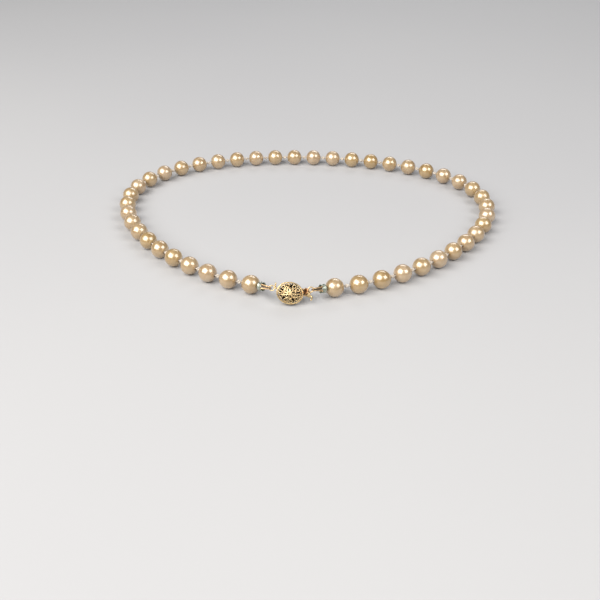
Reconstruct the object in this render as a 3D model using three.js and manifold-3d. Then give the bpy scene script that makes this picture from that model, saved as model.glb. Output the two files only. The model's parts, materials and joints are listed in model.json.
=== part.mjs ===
// Single-strand pearl necklace with a filigree clasp, closed and lying flat on a surface.
// Units are millimetres. +Z is up, the clasp is on the -Y side and the middle of the strand on +Y.

import * as THREE from 'three';
import { mergeVertices } from 'three/addons/utils/BufferGeometryUtils.js';
import Module from 'manifold-3d';

const wasm = await Module();
wasm.setup();

// Strand
const PEARL_COUNT = 45;
const PEARL_RADIUS = 3.3;
const PEARL_SIDES = 12;
const PEARL_LATITUDES = [-60, -36, -12, 12, 36, 60];
const DRILL_RADIUS = 0.6;
const PEARL_PITCH = 8.8;
const THREAD_RADIUS = 0.25;
const THREAD_SIDES = 6;
const KNOT_RADIUS = 0.7;
const KNOT_HALF_LENGTH = 0.45;
const END_KNOT_DISTANCE = 4.9;

// Loop
const LOOP_HALF_WIDTH = 72;
const LOOP_TAPER = 0.22;
const CLASP_SPAN = 29.0;

// Clasp
const CLASP_HALF_LENGTH = 4.65;
const CLASP_HALF_HEIGHT = 3.85;
const CLASP_HALF_THICKNESS = 2.65;
const CLASP_OFFSET = new THREE.Vector3(-0.4, -5.8, 0.55);
const CLASP_LEAN = THREE.MathUtils.degToRad(60);
const CLASP_TILT = THREE.MathUtils.degToRad(-10);
const SHEET = 0.4;
const RIM_HALF_HEIGHT = 0.95;
const MOUTH = { centre: 0.5, width: 3.4, low: -0.8, high: 0.7 };
const GAP = 0.15;
const PETAL_HOLES = { count: 8, turn: 0, distance: 1.35, length: 1.2, width: 0.55 };
const SCROLL_HOLES = { count: 8, turn: 0.5, distance: 2.7, length: 0.8, width: 1.1 };
const CATCH_BAR = { x: 3.6, y: -0.15, z: 0.74, radius: 0.13, length: 2.6 };

// Rings and bead tips
const RING_RADIUS = 0.85;
const RING_WIRE = 0.22;
const RING_RISE = 1.48;
const RING_DEPTH = -0.77;
const STUB = { x: -5.05, rise: 1.1, radius: 0.2, length: 2 };
const LEFT_RING_X = -6.3;
const RIGHT_RING_X = 7.1;
const CUP_RADIUS = 1.65;
const CUP_LENGTH = 1.9;
const CUP_START = 3.75;
const CUP_WALL = 0.32;
const CUP_HOLE_RADIUS = 0.5;
const STRAP_WIDTH = 0.7;
const STRAP_THICKNESS = 0.3;
const STRAP_LOOP_RADIUS = 0.67;
const STRAP_LOOP_STEPS = 5;

// Hook
const STRIP_LOW = -0.65;
const STRIP_THICKNESS = 0.25;
const TONGUE_LOW = -0.35;
const TONGUE_WIDTH = 2.0;
const HOOK_RING_POST_END = 6.05;

const PEARL_MATERIAL = { color: 0xd8bd94, roughness: 0.22, metalness: 0.0 };
const SILK_MATERIAL = { color: 0xcfc8b8, roughness: 0.8, metalness: 0.0 };
const GOLD_MATERIAL = { color: 0xcfa55c, roughness: 0.3, metalness: 1.0 };
const TARNISHED_MATERIAL = { color: 0x8d8b78, roughness: 0.45, metalness: 1.0 };

const necklace = new THREE.Group();

function addMesh(parent, name, geometry, material) {
  const mesh = new THREE.Mesh(geometry, new THREE.MeshStandardMaterial(material));
  mesh.name = name;
  parent.add(mesh);
  return mesh;
}

// Closed solids in and out of the boolean library

function solidFrom(geometry) {
  const bare = new THREE.BufferGeometry();
  bare.setAttribute('position', geometry.getAttribute('position').clone());
  if (geometry.index) {
    bare.setIndex(geometry.index.clone());
  }
  const merged = mergeVertices(bare, 1e-4);
  const corners = merged.index.array;
  const kept = [];
  for (let i = 0; i < corners.length; i += 3) {
    const [a, b, c] = [corners[i], corners[i + 1], corners[i + 2]];
    if (a !== b && b !== c && c !== a) {
      kept.push(a, b, c);
    }
  }
  const vertProperties = new Float32Array(merged.getAttribute('position').array);
  return new wasm.Manifold(new wasm.Mesh({ numProp: 3, vertProperties, triVerts: new Uint32Array(kept) }));
}

function geometryFrom(solid) {
  const found = solid.getMesh();
  const geometry = new THREE.BufferGeometry();
  geometry.setAttribute('position', new THREE.BufferAttribute(new Float32Array(found.vertProperties), 3));
  geometry.setIndex(new THREE.BufferAttribute(new Uint32Array(found.triVerts), 1));
  geometry.computeVertexNormals();
  return geometry;
}

function box(low, high) {
  const size = new THREE.Vector3().subVectors(high, low);
  const middle = new THREE.Vector3().addVectors(low, high).multiplyScalar(0.5);
  return new THREE.BoxGeometry(size.x, size.y, size.z).translate(middle.x, middle.y, middle.z);
}

// The oval that the strand follows: angle 0 is the middle of the strand, pi is the clasp

function ovalPoint(angle, halfDepth) {
  const x = LOOP_HALF_WIDTH * Math.sin(angle) * (1 + LOOP_TAPER * Math.cos(angle));
  return new THREE.Vector3(x, halfDepth * Math.cos(angle), PEARL_RADIUS);
}

function solve(low, high, tooLow) {
  for (let step = 0; step < 60; step += 1) {
    const middle = (low + high) / 2;
    if (tooLow(middle)) {
      low = middle;
    } else {
      high = middle;
    }
  }
  return (low + high) / 2;
}

function halfStrand(halfDepth) {
  const centres = [ovalPoint(0, halfDepth)];
  let angle = 0;
  while (centres.length < (PEARL_COUNT + 1) / 2) {
    const last = centres[centres.length - 1];
    const isShort = (next) => ovalPoint(next, halfDepth).distanceTo(last) < PEARL_PITCH;
    angle = solve(angle, angle + 0.5, isShort);
    centres.push(ovalPoint(angle, halfDepth));
  }
  return centres;
}

const halfDepth = solve(40, 90, (depth) => halfStrand(depth).at(-1).x < CLASP_SPAN / 2);
const rightHalf = halfStrand(halfDepth);
const mirrored = (point) => new THREE.Vector3(-point.x, point.y, point.z);
const pearlCentres = [...rightHalf.slice(1).reverse().map(mirrored), ...rightHalf];

// Clasp frame: local X along the strand, local Z the face's normal, local Y up the face

const clasp = new THREE.Group();
const endPearl = pearlCentres[0];
clasp.position.set(CLASP_OFFSET.x, endPearl.y + CLASP_OFFSET.y, PEARL_RADIUS + CLASP_OFFSET.z);
clasp.rotation.x = CLASP_LEAN;
clasp.updateMatrixWorld(true);
necklace.add(clasp);

const leftRing = new THREE.Vector3(LEFT_RING_X, RING_RISE, RING_DEPTH);
const rightRing = new THREE.Vector3(RIGHT_RING_X, RING_RISE, RING_DEPTH);
const wireBeside = (ring, side) => new THREE.Vector3(ring.x + side * RING_RADIUS, ring.y, ring.z);
const leftHold = wireBeside(leftRing, -1).applyMatrix4(clasp.matrixWorld);
const rightHold = wireBeside(rightRing, 1).applyMatrix4(clasp.matrixWorld);
const claspNormal = new THREE.Vector3(0, 0, 1).transformDirection(clasp.matrixWorld);

// Pearls, each drilled along the strand, with a flat facet underneath

function pearlGeometry() {
  const flatness = Math.cos(THREE.MathUtils.degToRad(PEARL_LATITUDES.at(-3)));
  const cornerRadius = PEARL_RADIUS / (flatness * Math.cos(Math.PI / PEARL_SIDES));
  const mouth = Math.sqrt(cornerRadius ** 2 - DRILL_RADIUS ** 2);
  const profile = [new THREE.Vector2(DRILL_RADIUS, -mouth)];
  for (const latitude of PEARL_LATITUDES) {
    const angle = THREE.MathUtils.degToRad(latitude);
    profile.push(new THREE.Vector2(cornerRadius * Math.cos(angle), cornerRadius * Math.sin(angle)));
  }
  profile.push(new THREE.Vector2(DRILL_RADIUS, mouth));
  profile.push(profile[0].clone());
  return new THREE.LatheGeometry(profile, PEARL_SIDES, Math.PI / PEARL_SIDES);
}

function drillDirection(index) {
  const before = index > 0 ? pearlCentres[index - 1] : leftHold;
  const after = index < PEARL_COUNT - 1 ? pearlCentres[index + 1] : rightHold;
  const here = pearlCentres[index];
  const direction = new THREE.Vector3().subVectors(after, here).normalize();
  direction.add(new THREE.Vector3().subVectors(here, before).normalize());
  direction.z = 0;
  return direction.normalize();
}

function addPearls() {
  const geometry = pearlGeometry();
  const up = new THREE.Vector3(0, 0, 1);
  pearlCentres.forEach((centre, index) => {
    const name = `pearl_${String(index + 1).padStart(2, '0')}`;
    const pearl = addMesh(necklace, name, geometry.clone(), PEARL_MATERIAL);
    const along = drillDirection(index);
    const across = new THREE.Vector3().crossVectors(along, up);
    pearl.quaternion.setFromRotationMatrix(new THREE.Matrix4().makeBasis(across, along, up));
    pearl.position.copy(centre);
  });
}

// Silk thread: one tube through every pearl, with a knot in each gap and an end knot in each cup

function directionBetween(from, to) {
  return new THREE.Vector3().subVectors(to, from).normalize();
}

function ringOfPoints({ centre, along, radius }) {
  const side = new THREE.Vector3(along.y, -along.x, 0).normalize();
  const up = new THREE.Vector3().crossVectors(side, along);
  const points = [];
  for (let i = 0; i < THREAD_SIDES; i += 1) {
    const angle = (2 * Math.PI * i) / THREAD_SIDES;
    const point = centre.clone().addScaledVector(side, radius * Math.cos(angle));
    points.push(point.addScaledVector(up, radius * Math.sin(angle)));
  }
  return points;
}

function tubeGeometry(stations) {
  const rings = stations.map(ringOfPoints);
  const corners = [];
  const addTriangle = (...points) => points.forEach((point) => corners.push(point.x, point.y, point.z));
  for (let k = 0; k + 1 < rings.length; k += 1) {
    for (let i = 0; i < THREAD_SIDES; i += 1) {
      const j = (i + 1) % THREAD_SIDES;
      addTriangle(rings[k][i], rings[k + 1][i], rings[k + 1][j]);
      addTriangle(rings[k][i], rings[k + 1][j], rings[k][j]);
    }
  }
  for (let i = 1; i + 1 < THREAD_SIDES; i += 1) {
    addTriangle(rings[0][0], rings[0][i], rings[0][i + 1]);
    addTriangle(rings.at(-1)[0], rings.at(-1)[i + 1], rings.at(-1)[i]);
  }
  const geometry = new THREE.BufferGeometry();
  geometry.setAttribute('position', new THREE.Float32BufferAttribute(corners, 3));
  return geometry;
}

function stationsAlong(centre, along, steps) {
  const placeAt = (step) => centre.clone().addScaledVector(along, step);
  return steps.map(([step, radius]) => ({ centre: placeAt(step), along, radius }));
}

function threadGeometry() {
  const inPearl = [[-PEARL_RADIUS, THREAD_RADIUS], [PEARL_RADIUS, THREAD_RADIUS]];
  const knot = [[-KNOT_HALF_LENGTH, KNOT_RADIUS], [KNOT_HALF_LENGTH, KNOT_RADIUS]];
  const neck = 2 * KNOT_HALF_LENGTH;
  const last = PEARL_COUNT - 1;
  const leftAlong = directionBetween(leftHold, pearlCentres[0]);
  const rightAlong = directionBetween(pearlCentres[last], rightHold);
  const leftEnd = pearlCentres[0].clone().addScaledVector(leftAlong, -END_KNOT_DISTANCE);
  const rightEnd = pearlCentres[last].clone().addScaledVector(rightAlong, END_KNOT_DISTANCE);
  const stations = stationsAlong(leftEnd, leftAlong, [...knot, [neck, THREAD_RADIUS]]);
  pearlCentres.forEach((centre, index) => {
    stations.push(...stationsAlong(centre, drillDirection(index), inPearl));
    if (index < last) {
      const next = pearlCentres[index + 1];
      const middle = centre.clone().add(next).multiplyScalar(0.5);
      stations.push(...stationsAlong(middle, directionBetween(centre, next), knot));
    }
  });
  stations.push(...stationsAlong(rightEnd, rightAlong, [[-neck, THREAD_RADIUS], ...knot]));
  return tubeGeometry(stations);
}

// Bead tips: a cup beside the end pearl, with a strap that hooks through the clasp's ring

function cupGeometry() {
  const floor = CUP_WALL;
  const inside = CUP_RADIUS - CUP_WALL;
  const profile = [
    new THREE.Vector2(CUP_HOLE_RADIUS, 0),
    new THREE.Vector2(1.15, 0.12),
    new THREE.Vector2(CUP_RADIUS, 0.85),
    new THREE.Vector2(CUP_RADIUS, CUP_LENGTH),
    new THREE.Vector2(inside, CUP_LENGTH),
    new THREE.Vector2(inside, 0.95),
    new THREE.Vector2(0.95, 0.4),
    new THREE.Vector2(CUP_HOLE_RADIUS, floor),
    new THREE.Vector2(CUP_HOLE_RADIUS, 0),
  ];
  return new THREE.LatheGeometry(profile, PEARL_SIDES, 0);
}

function beadTipGeometry(length) {
  const loopStart = length - CUP_START;
  const points = [
    new THREE.Vector3(0, CUP_LENGTH - 0.5, CUP_RADIUS - CUP_WALL / 2),
    new THREE.Vector3(0, loopStart - 0.15, STRAP_LOOP_RADIUS),
  ];
  for (let step = 0; step <= STRAP_LOOP_STEPS; step += 1) {
    const angle = (Math.PI * step) / STRAP_LOOP_STEPS;
    const ahead = STRAP_LOOP_RADIUS * Math.sin(angle);
    points.push(new THREE.Vector3(0, loopStart + ahead, STRAP_LOOP_RADIUS * Math.cos(angle)));
  }
  const strap = solidFrom(ribbonGeometry(points, STRAP_WIDTH, STRAP_THICKNESS));
  return geometryFrom(solidFrom(cupGeometry()).add(strap));
}

// A flat ribbon whose centreline lies in the local YZ plane and whose width is along X

function ribbonGeometry(points, width, thickness) {
  const upper = [];
  const lower = [];
  points.forEach((point, index) => {
    const before = points[Math.max(index - 1, 0)];
    const after = points[Math.min(index + 1, points.length - 1)];
    const along = new THREE.Vector2(after.y - before.y, after.z - before.z).normalize();
    const away = new THREE.Vector2(-along.y, along.x).multiplyScalar(thickness / 2);
    upper.push(new THREE.Vector2(point.y + away.x, point.z + away.y));
    lower.push(new THREE.Vector2(point.y - away.x, point.z - away.y));
  });
  const outline = new THREE.Shape([...lower, ...upper.reverse()]);
  const flat = new THREE.ExtrudeGeometry(outline, { depth: width, bevelEnabled: false, steps: 1 });
  flat.translate(0, 0, -width / 2);
  const turn = new THREE.Matrix4().makeBasis(
    new THREE.Vector3(0, 1, 0), new THREE.Vector3(0, 0, 1), new THREE.Vector3(1, 0, 0));
  return flat.applyMatrix4(turn);
}

function addBeadTip(name, pearl, hold) {
  const along = new THREE.Vector3().subVectors(hold, pearl);
  const length = along.length();
  along.normalize();
  const face = claspNormal.clone().addScaledVector(along, -claspNormal.dot(along)).normalize();
  const across = new THREE.Vector3().crossVectors(along, face);
  const tip = addMesh(necklace, name, beadTipGeometry(length), TARNISHED_MATERIAL);
  tip.quaternion.setFromRotationMatrix(new THREE.Matrix4().makeBasis(across, along, face));
  tip.position.copy(pearl).addScaledVector(along, CUP_START);
}

// Clasp box: two pierced domes on an oval rim that has a mouth in its +X end

function ovalShape(halfLength, halfHeight) {
  const shape = new THREE.Shape();
  shape.absellipse(0, 0, halfLength, halfHeight, 0, 2 * Math.PI, false, 0);
  return shape;
}

function rimGeometry() {
  const shape = ovalShape(CLASP_HALF_LENGTH, CLASP_HALF_HEIGHT);
  shape.holes.push(ovalShape(CLASP_HALF_LENGTH - SHEET, CLASP_HALF_HEIGHT - SHEET));
  const options = { depth: 2 * RIM_HALF_HEIGHT, bevelEnabled: false, curveSegments: 14, steps: 1 };
  const band = new THREE.ExtrudeGeometry(shape, options).translate(0, 0, -RIM_HALF_HEIGHT);
  band.rotateZ(CLASP_TILT);
  const insideBand = CLASP_HALF_LENGTH / 2;
  const pastBand = 2 * CLASP_HALF_LENGTH;
  const low = new THREE.Vector3(insideBand, MOUTH.centre - MOUTH.width / 2, MOUTH.low);
  const high = new THREE.Vector3(pastBand, MOUTH.centre + MOUTH.width / 2, MOUTH.high);
  return geometryFrom(solidFrom(band).subtract(solidFrom(box(low, high))));
}

function ovalDome(shrink) {
  const dome = new THREE.SphereGeometry(1, 20, 10);
  dome.rotateX(Math.PI / 2);
  dome.scale(CLASP_HALF_LENGTH - shrink, CLASP_HALF_HEIGHT - shrink, CLASP_HALF_THICKNESS - shrink);
  return solidFrom(dome);
}

function piercings({ count, turn, distance, length, width }) {
  const shape = new THREE.Shape();
  shape.absellipse(0, 0, length / 2, width / 2, 0, 2 * Math.PI, false, 0);
  const options = { depth: 2 * CLASP_HALF_THICKNESS, bevelEnabled: false, curveSegments: 2, steps: 1 };
  const cutter = new THREE.ExtrudeGeometry(shape, options).translate(distance, 0, 0);
  const cutters = [];
  for (let i = 0; i < count; i += 1) {
    cutters.push(solidFrom(cutter.clone().rotateZ((2 * Math.PI * (i + turn)) / count)));
  }
  return wasm.Manifold.union(cutters);
}

function piercedDomeGeometry(side) {
  const reach = 2 * CLASP_HALF_LENGTH;
  const low = new THREE.Vector3(-reach, -reach, RIM_HALF_HEIGHT + GAP);
  const high = new THREE.Vector3(reach, reach, reach);
  const shell = ovalDome(0).subtract(ovalDome(SHEET)).intersect(solidFrom(box(low, high)));
  const pierced = shell.subtract(piercings(PETAL_HOLES)).subtract(piercings(SCROLL_HOLES));
  const geometry = geometryFrom(pierced);
  if (side < 0) {
    geometry.rotateX(Math.PI);
  }
  return geometry.rotateZ(CLASP_TILT);
}

function ringGeometry(place, postEnd) {
  const ring = new THREE.TorusGeometry(RING_RADIUS, RING_WIRE, 6, 14).translate(place.x, place.y, place.z);
  const start = place.x + Math.sign(postEnd - place.x) * RING_RADIUS;
  const post = new THREE.CylinderGeometry(RING_WIRE, RING_WIRE, Math.abs(postEnd - start), 8);
  post.rotateZ(Math.PI / 2).translate((postEnd + start) / 2, place.y, place.z);
  return solidFrom(ring).add(solidFrom(post));
}

function claspRingGeometry() {
  const stub = new THREE.CylinderGeometry(STUB.radius, STUB.radius, STUB.length, 6);
  stub.translate(STUB.x, RING_RISE + STUB.rise, RING_DEPTH);
  return geometryFrom(ringGeometry(leftRing, STUB.x + STUB.radius).add(solidFrom(stub)));
}

function hookRingGeometry() {
  return geometryFrom(ringGeometry(rightRing, HOOK_RING_POST_END));
}

function catchBarGeometry() {
  const bar = new THREE.CylinderGeometry(CATCH_BAR.radius, CATCH_BAR.radius, CATCH_BAR.length, 8);
  return bar.translate(CATCH_BAR.x, CATCH_BAR.y, CATCH_BAR.z);
}

// Hook: a flat strip that carries the ring, and a spring tongue folded over it

function hookStripGeometry() {
  const outline = new THREE.Shape();
  outline.moveTo(-2.4, -0.8);
  outline.lineTo(4.9, -0.8);
  outline.lineTo(5.15, -1.2);
  outline.lineTo(6.2, -1.0);
  outline.quadraticCurveTo(7.0, -0.9, 7.1, -2.1);
  outline.lineTo(7.6, -2.1);
  outline.quadraticCurveTo(7.6, -0.3, 6.1, -0.3);
  outline.lineTo(5.9, 2.0);
  outline.lineTo(5.15, 2.1);
  outline.lineTo(4.9, 1.8);
  outline.lineTo(-2.4, 1.8);
  outline.closePath();
  const options = { depth: STRIP_THICKNESS, bevelEnabled: false, curveSegments: 5, steps: 1 };
  return new THREE.ExtrudeGeometry(outline, options).translate(0, 0, STRIP_LOW);
}

function hookTongueGeometry() {
  const side = new THREE.Shape();
  side.moveTo(-2.6, TONGUE_LOW);
  side.lineTo(5.5, TONGUE_LOW + 0.4);
  side.lineTo(6.1, 1.5);
  side.lineTo(5.8, 1.6);
  side.lineTo(5.25, TONGUE_LOW + 0.7);
  side.lineTo(3.4, TONGUE_LOW + 0.6);
  side.lineTo(3.35, 0.45);
  side.lineTo(3.1, 0.45);
  side.lineTo(2.6, TONGUE_LOW + 0.58);
  side.lineTo(-2.6, TONGUE_LOW + 0.25);
  side.closePath();
  const tongue = new THREE.ExtrudeGeometry(side, { depth: TONGUE_WIDTH, bevelEnabled: false, steps: 1 });
  tongue.rotateX(Math.PI / 2);
  return tongue.translate(0, MOUTH.centre + TONGUE_WIDTH / 2, 0);
}

addPearls();
addMesh(necklace, 'silk_thread', threadGeometry(), SILK_MATERIAL);
addBeadTip('bead_tip_left', pearlCentres[0], leftHold);
addBeadTip('bead_tip_right', pearlCentres[PEARL_COUNT - 1], rightHold);
addMesh(clasp, 'clasp_rim', rimGeometry(), GOLD_MATERIAL);
addMesh(clasp, 'clasp_front_filigree', piercedDomeGeometry(1), GOLD_MATERIAL);
addMesh(clasp, 'clasp_back_filigree', piercedDomeGeometry(-1), GOLD_MATERIAL);
addMesh(clasp, 'clasp_catch_bar', catchBarGeometry(), GOLD_MATERIAL);
addMesh(clasp, 'clasp_ring', claspRingGeometry(), GOLD_MATERIAL);
addMesh(clasp, 'hook_strip', hookStripGeometry(), GOLD_MATERIAL);
addMesh(clasp, 'hook_tongue', hookTongueGeometry(), GOLD_MATERIAL);
addMesh(clasp, 'hook_ring', hookRingGeometry(), GOLD_MATERIAL);

// The origin is under the middle of the necklace's box, on the surface it lies on

necklace.updateMatrixWorld(true);
const bounds = new THREE.Box3().setFromObject(necklace, true);
const middle = bounds.getCenter(new THREE.Vector3());
necklace.position.set(-middle.x, -middle.y, -bounds.min.z);

export default necklace;
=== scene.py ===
"""Looks of the pearl necklace: nacre pearls, silk knots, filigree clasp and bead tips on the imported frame.

Everything is in metres in the frame's own axes: +Z up, the clasp on the -Y side, the strand's middle on +Y.
"""

import json
from math import asin, cos, pi, radians, sin, sqrt, tau
from random import Random

import bmesh
import bpy
from mathutils import Matrix, Vector, noise


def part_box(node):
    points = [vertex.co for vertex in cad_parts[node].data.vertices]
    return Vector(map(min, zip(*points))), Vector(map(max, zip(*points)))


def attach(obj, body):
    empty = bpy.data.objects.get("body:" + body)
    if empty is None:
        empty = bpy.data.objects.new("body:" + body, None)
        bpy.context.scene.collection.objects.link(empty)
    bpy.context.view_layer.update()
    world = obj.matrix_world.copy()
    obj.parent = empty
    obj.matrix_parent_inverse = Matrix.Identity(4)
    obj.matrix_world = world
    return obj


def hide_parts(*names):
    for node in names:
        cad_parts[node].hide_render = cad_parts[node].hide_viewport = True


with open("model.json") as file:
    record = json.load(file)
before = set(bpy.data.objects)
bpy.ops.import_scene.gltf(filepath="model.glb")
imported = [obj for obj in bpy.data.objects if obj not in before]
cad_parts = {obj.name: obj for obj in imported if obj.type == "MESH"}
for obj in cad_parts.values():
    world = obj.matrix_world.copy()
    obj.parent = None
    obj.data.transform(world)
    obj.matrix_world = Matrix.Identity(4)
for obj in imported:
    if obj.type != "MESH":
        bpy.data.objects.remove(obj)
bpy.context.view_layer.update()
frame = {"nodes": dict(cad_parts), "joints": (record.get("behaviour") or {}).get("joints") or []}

MM = 0.001

# ---------------------------------------------------------------- camera, light and floor

CAMERA_PLACE = (21.9 * MM, -312.2 * MM, 154.5 * MM)
CAMERA_PITCH = radians(-31.36)
CAMERA_YAW = radians(4.31)
CAMERA_LENS = 51.96
SENSOR = 36.0
CLIP_START = 10 * MM

# Each softbox hangs at its place and faces the origin: name, place, width, height, watts, colour.
SOFTBOXES = (
    ("key_light", (-0.42, -0.42, 0.60), 0.95, 0.75, 12.0, (1.0, 0.975, 0.94)),
    ("side_light", (0.55, -0.30, 0.55), 0.50, 0.45, 3.6, (1.0, 0.98, 0.96)),
    ("back_light", (0.10, 0.75, 0.55), 0.60, 0.25, 1.8, (0.97, 0.98, 1.0)),
)
WORLD_COLOUR = (0.86, 0.87, 0.90, 1)
WORLD_STRENGTH = 0.22
FLOOR_SIZE = 12


def add_camera():
    camera = bpy.data.cameras.new("camera")
    camera.lens = CAMERA_LENS
    camera.sensor_width = SENSOR
    camera.clip_start = CLIP_START
    holder = bpy.data.objects.new("camera", camera)
    holder.location = CAMERA_PLACE
    holder.rotation_euler = (pi / 2 + CAMERA_PITCH, 0, CAMERA_YAW)
    bpy.context.scene.collection.objects.link(holder)
    bpy.context.scene.camera = holder


def add_softbox(name, place, width, height, watts, colour):
    light = bpy.data.lights.new(name, "AREA")
    light.shape = "RECTANGLE"
    light.size, light.size_y = width, height
    light.energy = watts
    light.color = colour
    holder = bpy.data.objects.new(name, light)
    holder.location = place
    holder.rotation_euler = (-Vector(place)).to_track_quat("-Z", "Y").to_euler()
    bpy.context.scene.collection.objects.link(holder)


def add_studio():
    for softbox in SOFTBOXES:
        add_softbox(*softbox)
    world = bpy.data.worlds.new("studio")
    world.use_nodes = True
    background = world.node_tree.nodes["Background"]
    background.inputs["Color"].default_value = WORLD_COLOUR
    background.inputs["Strength"].default_value = WORLD_STRENGTH
    bpy.context.scene.world = world
    bpy.context.scene.view_settings.view_transform = "Standard"


# ---------------------------------------------------------------- shader helpers

CREVICE_SAMPLES = 8


def new_material(name):
    """A material with its node tree, its principled shader and its points' places, in metres."""
    material = bpy.data.materials.new(name)
    material.use_nodes = True
    tree = material.node_tree
    shader = tree.nodes["Principled BSDF"]
    place = tree.nodes.new("ShaderNodeTexCoord").outputs["Object"]
    return material, tree, shader, place


def set_inputs(node, **values):
    for key, value in values.items():
        node.inputs[key.replace("_", " ")].default_value = value


def noise_value(tree, place, size, detail=3.0, roughness=0.5):
    """Noise with features about size metres across, from 0 to 1."""
    node = tree.nodes.new("ShaderNodeTexNoise")
    set_inputs(node, Scale=1 / size, Detail=detail, Roughness=roughness)
    tree.links.new(place, node.inputs["Vector"])
    return node.outputs["Fac"]


def stretch(tree, value, low, high, to_low=0.0, to_high=1.0):
    """value from low..high onto to_low..to_high, clamped."""
    node = tree.nodes.new("ShaderNodeMapRange")
    set_inputs(node, From_Min=low, From_Max=high, To_Min=to_low, To_Max=to_high)
    tree.links.new(value, node.inputs["Value"])
    return node.outputs["Result"]


def mix(tree, factor, first, second):
    """A colour between first and second, each an output or an RGB triple."""
    node = tree.nodes.new("ShaderNodeMix")
    node.data_type = "RGBA"
    tree.links.new(factor, node.inputs["Factor"])
    for key, colour in (("A", first), ("B", second)):
        socket = next(s for s in node.inputs if s.name == key and s.type == "RGBA")
        if isinstance(colour, tuple):
            socket.default_value = (*colour, 1)
        else:
            tree.links.new(colour, socket)
    return next(s for s in node.outputs if s.type == "RGBA")


def mesh_value(tree, name):
    """A number stored on the mesh's points."""
    node = tree.nodes.new("ShaderNodeAttribute")
    node.attribute_name = name
    return node.outputs["Fac"]


def bump(tree, shader, *layers):
    """Chained bumps, each (height output, strength, distance in metres)."""
    normal = None
    for height, strength, distance in layers:
        node = tree.nodes.new("ShaderNodeBump")
        set_inputs(node, Strength=strength, Distance=distance)
        tree.links.new(height, node.inputs["Height"])
        if normal:
            tree.links.new(normal, node.inputs["Normal"])
        normal = node.outputs["Normal"]
    tree.links.new(normal, shader.inputs["Normal"])


def crevice(tree, reach):
    """1 in the open and 0 deep in a recess narrower than reach."""
    node = tree.nodes.new("ShaderNodeAmbientOcclusion")
    node.samples = CREVICE_SAMPLES
    node.inputs["Distance"].default_value = reach
    return node.outputs["AO"]


# ---------------------------------------------------------------- materials

# Colours come in pairs where a material wanders between two of them.
GOLDEN_NACRE = (0.37, 0.228, 0.068), (0.46, 0.308, 0.120)
ROSY_NACRE = (0.43, 0.285, 0.145), (0.54, 0.400, 0.250)
NACRE_FLECK = (0.26, 0.14, 0.035)
WORN_NACRE = (0.22, 0.12, 0.055)
NACRE_SCATTER = (1.0, 0.6, 0.35)
NACRE_REFLECTION = (1.0, 0.88, 0.70, 1)
NACRE_SHEEN = (1.0, 0.86, 0.80, 1)
CLEAN_SILK = (0.80, 0.75, 0.67), (0.62, 0.55, 0.47)
# painted shade in the silk's grooves
SILK_GROOVE_SHADE = (0.36, 0.29, 0.22)
FLOOR_GREY = (0.45, 0.45, 0.46), (0.475, 0.475, 0.48)
# painted shade: near black for what lies inside the clasp and for the strap's trough
INSIDE_PAINTED_SHADE = (0.020, 0.013, 0.007)
NEW_PLATE = (0.20, 0.42)

# How big the patches of each surface's patterns are.
NACRE_CLOUDS = 3.2 * MM
NACRE_FLECKS = 0.25 * MM
NACRE_RIPPLES = 0.9 * MM
NACRE_GRAIN = 0.08 * MM
SILK_SOIL = 0.8 * MM
SILK_FIBRES = 0.05 * MM
METAL_PATCHES = 1.6 * MM
METAL_SPOTS = 0.45 * MM
METAL_DENTS = 0.22 * MM
METAL_SCRATCHES = 0.04 * MM
FLOOR_CLOUDS = 350 * MM


def nacre_material():
    """Champagne pearl coating: cloudy tone and a soft glow under a clear gloss, worn brown at the drill
    holes."""
    material, tree, shader, place = new_material("nacre")
    cloud = stretch(tree, noise_value(tree, place, NACRE_CLOUDS), 0.35, 0.65)
    fleck = stretch(tree, noise_value(tree, place, NACRE_FLECKS, 5), 0.3, 0.7, 0, 0.22)
    body = mix(tree, mesh_value(tree, "tone"), mix(tree, cloud, *GOLDEN_NACRE), mix(tree, cloud, *ROSY_NACRE))
    flecked = mix(tree, fleck, body, NACRE_FLECK)
    colour = mix(tree, mesh_value(tree, "wear"), flecked, WORN_NACRE)
    tree.links.new(colour, shader.inputs["Base Color"])
    tree.links.new(stretch(tree, cloud, 0, 1, 0.34, 0.42), shader.inputs["Roughness"])
    ripple = noise_value(tree, place, NACRE_RIPPLES, 2)
    grain = noise_value(tree, place, NACRE_GRAIN, 3)
    bump(tree, shader, (ripple, 0.10, 0.05 * MM), (grain, 0.05, 0.01 * MM))
    set_inputs(shader, Metallic=0.20, IOR=2.0, Specular_Tint=NACRE_REFLECTION)
    set_inputs(shader, Subsurface_Weight=0.10, Subsurface_Scale=1.2 * MM, Subsurface_Radius=NACRE_SCATTER)
    set_inputs(shader, Coat_Weight=1.0, Coat_Roughness=0.20, Coat_IOR=2.1)
    set_inputs(shader, Sheen_Weight=0.10, Sheen_Roughness=0.4, Sheen_Tint=NACRE_SHEEN)
    return material


def silk_material():
    """Pale grey-beige twisted silk, soiled in patches, with painted shade in the grooves between its plies.
    """
    material, tree, shader, place = new_material("silk")
    soil = stretch(tree, noise_value(tree, place, SILK_SOIL, 4), 0.35, 0.7)
    # painted shade: the deeper a point lies in the groove between plies, the darker it is
    groove_shade = stretch(tree, mesh_value(tree, "groove_shade"), 0, 1, 0, 0.65)
    colour = mix(tree, groove_shade, mix(tree, soil, *CLEAN_SILK), SILK_GROOVE_SHADE)
    tree.links.new(colour, shader.inputs["Base Color"])
    fibre = noise_value(tree, place, SILK_FIBRES, 5, 0.7)
    bump(tree, shader, (fibre, 0.6, 0.03 * MM))
    set_inputs(shader, Roughness=0.62, Sheen_Weight=0.5, Sheen_Roughness=0.35)
    return material


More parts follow.
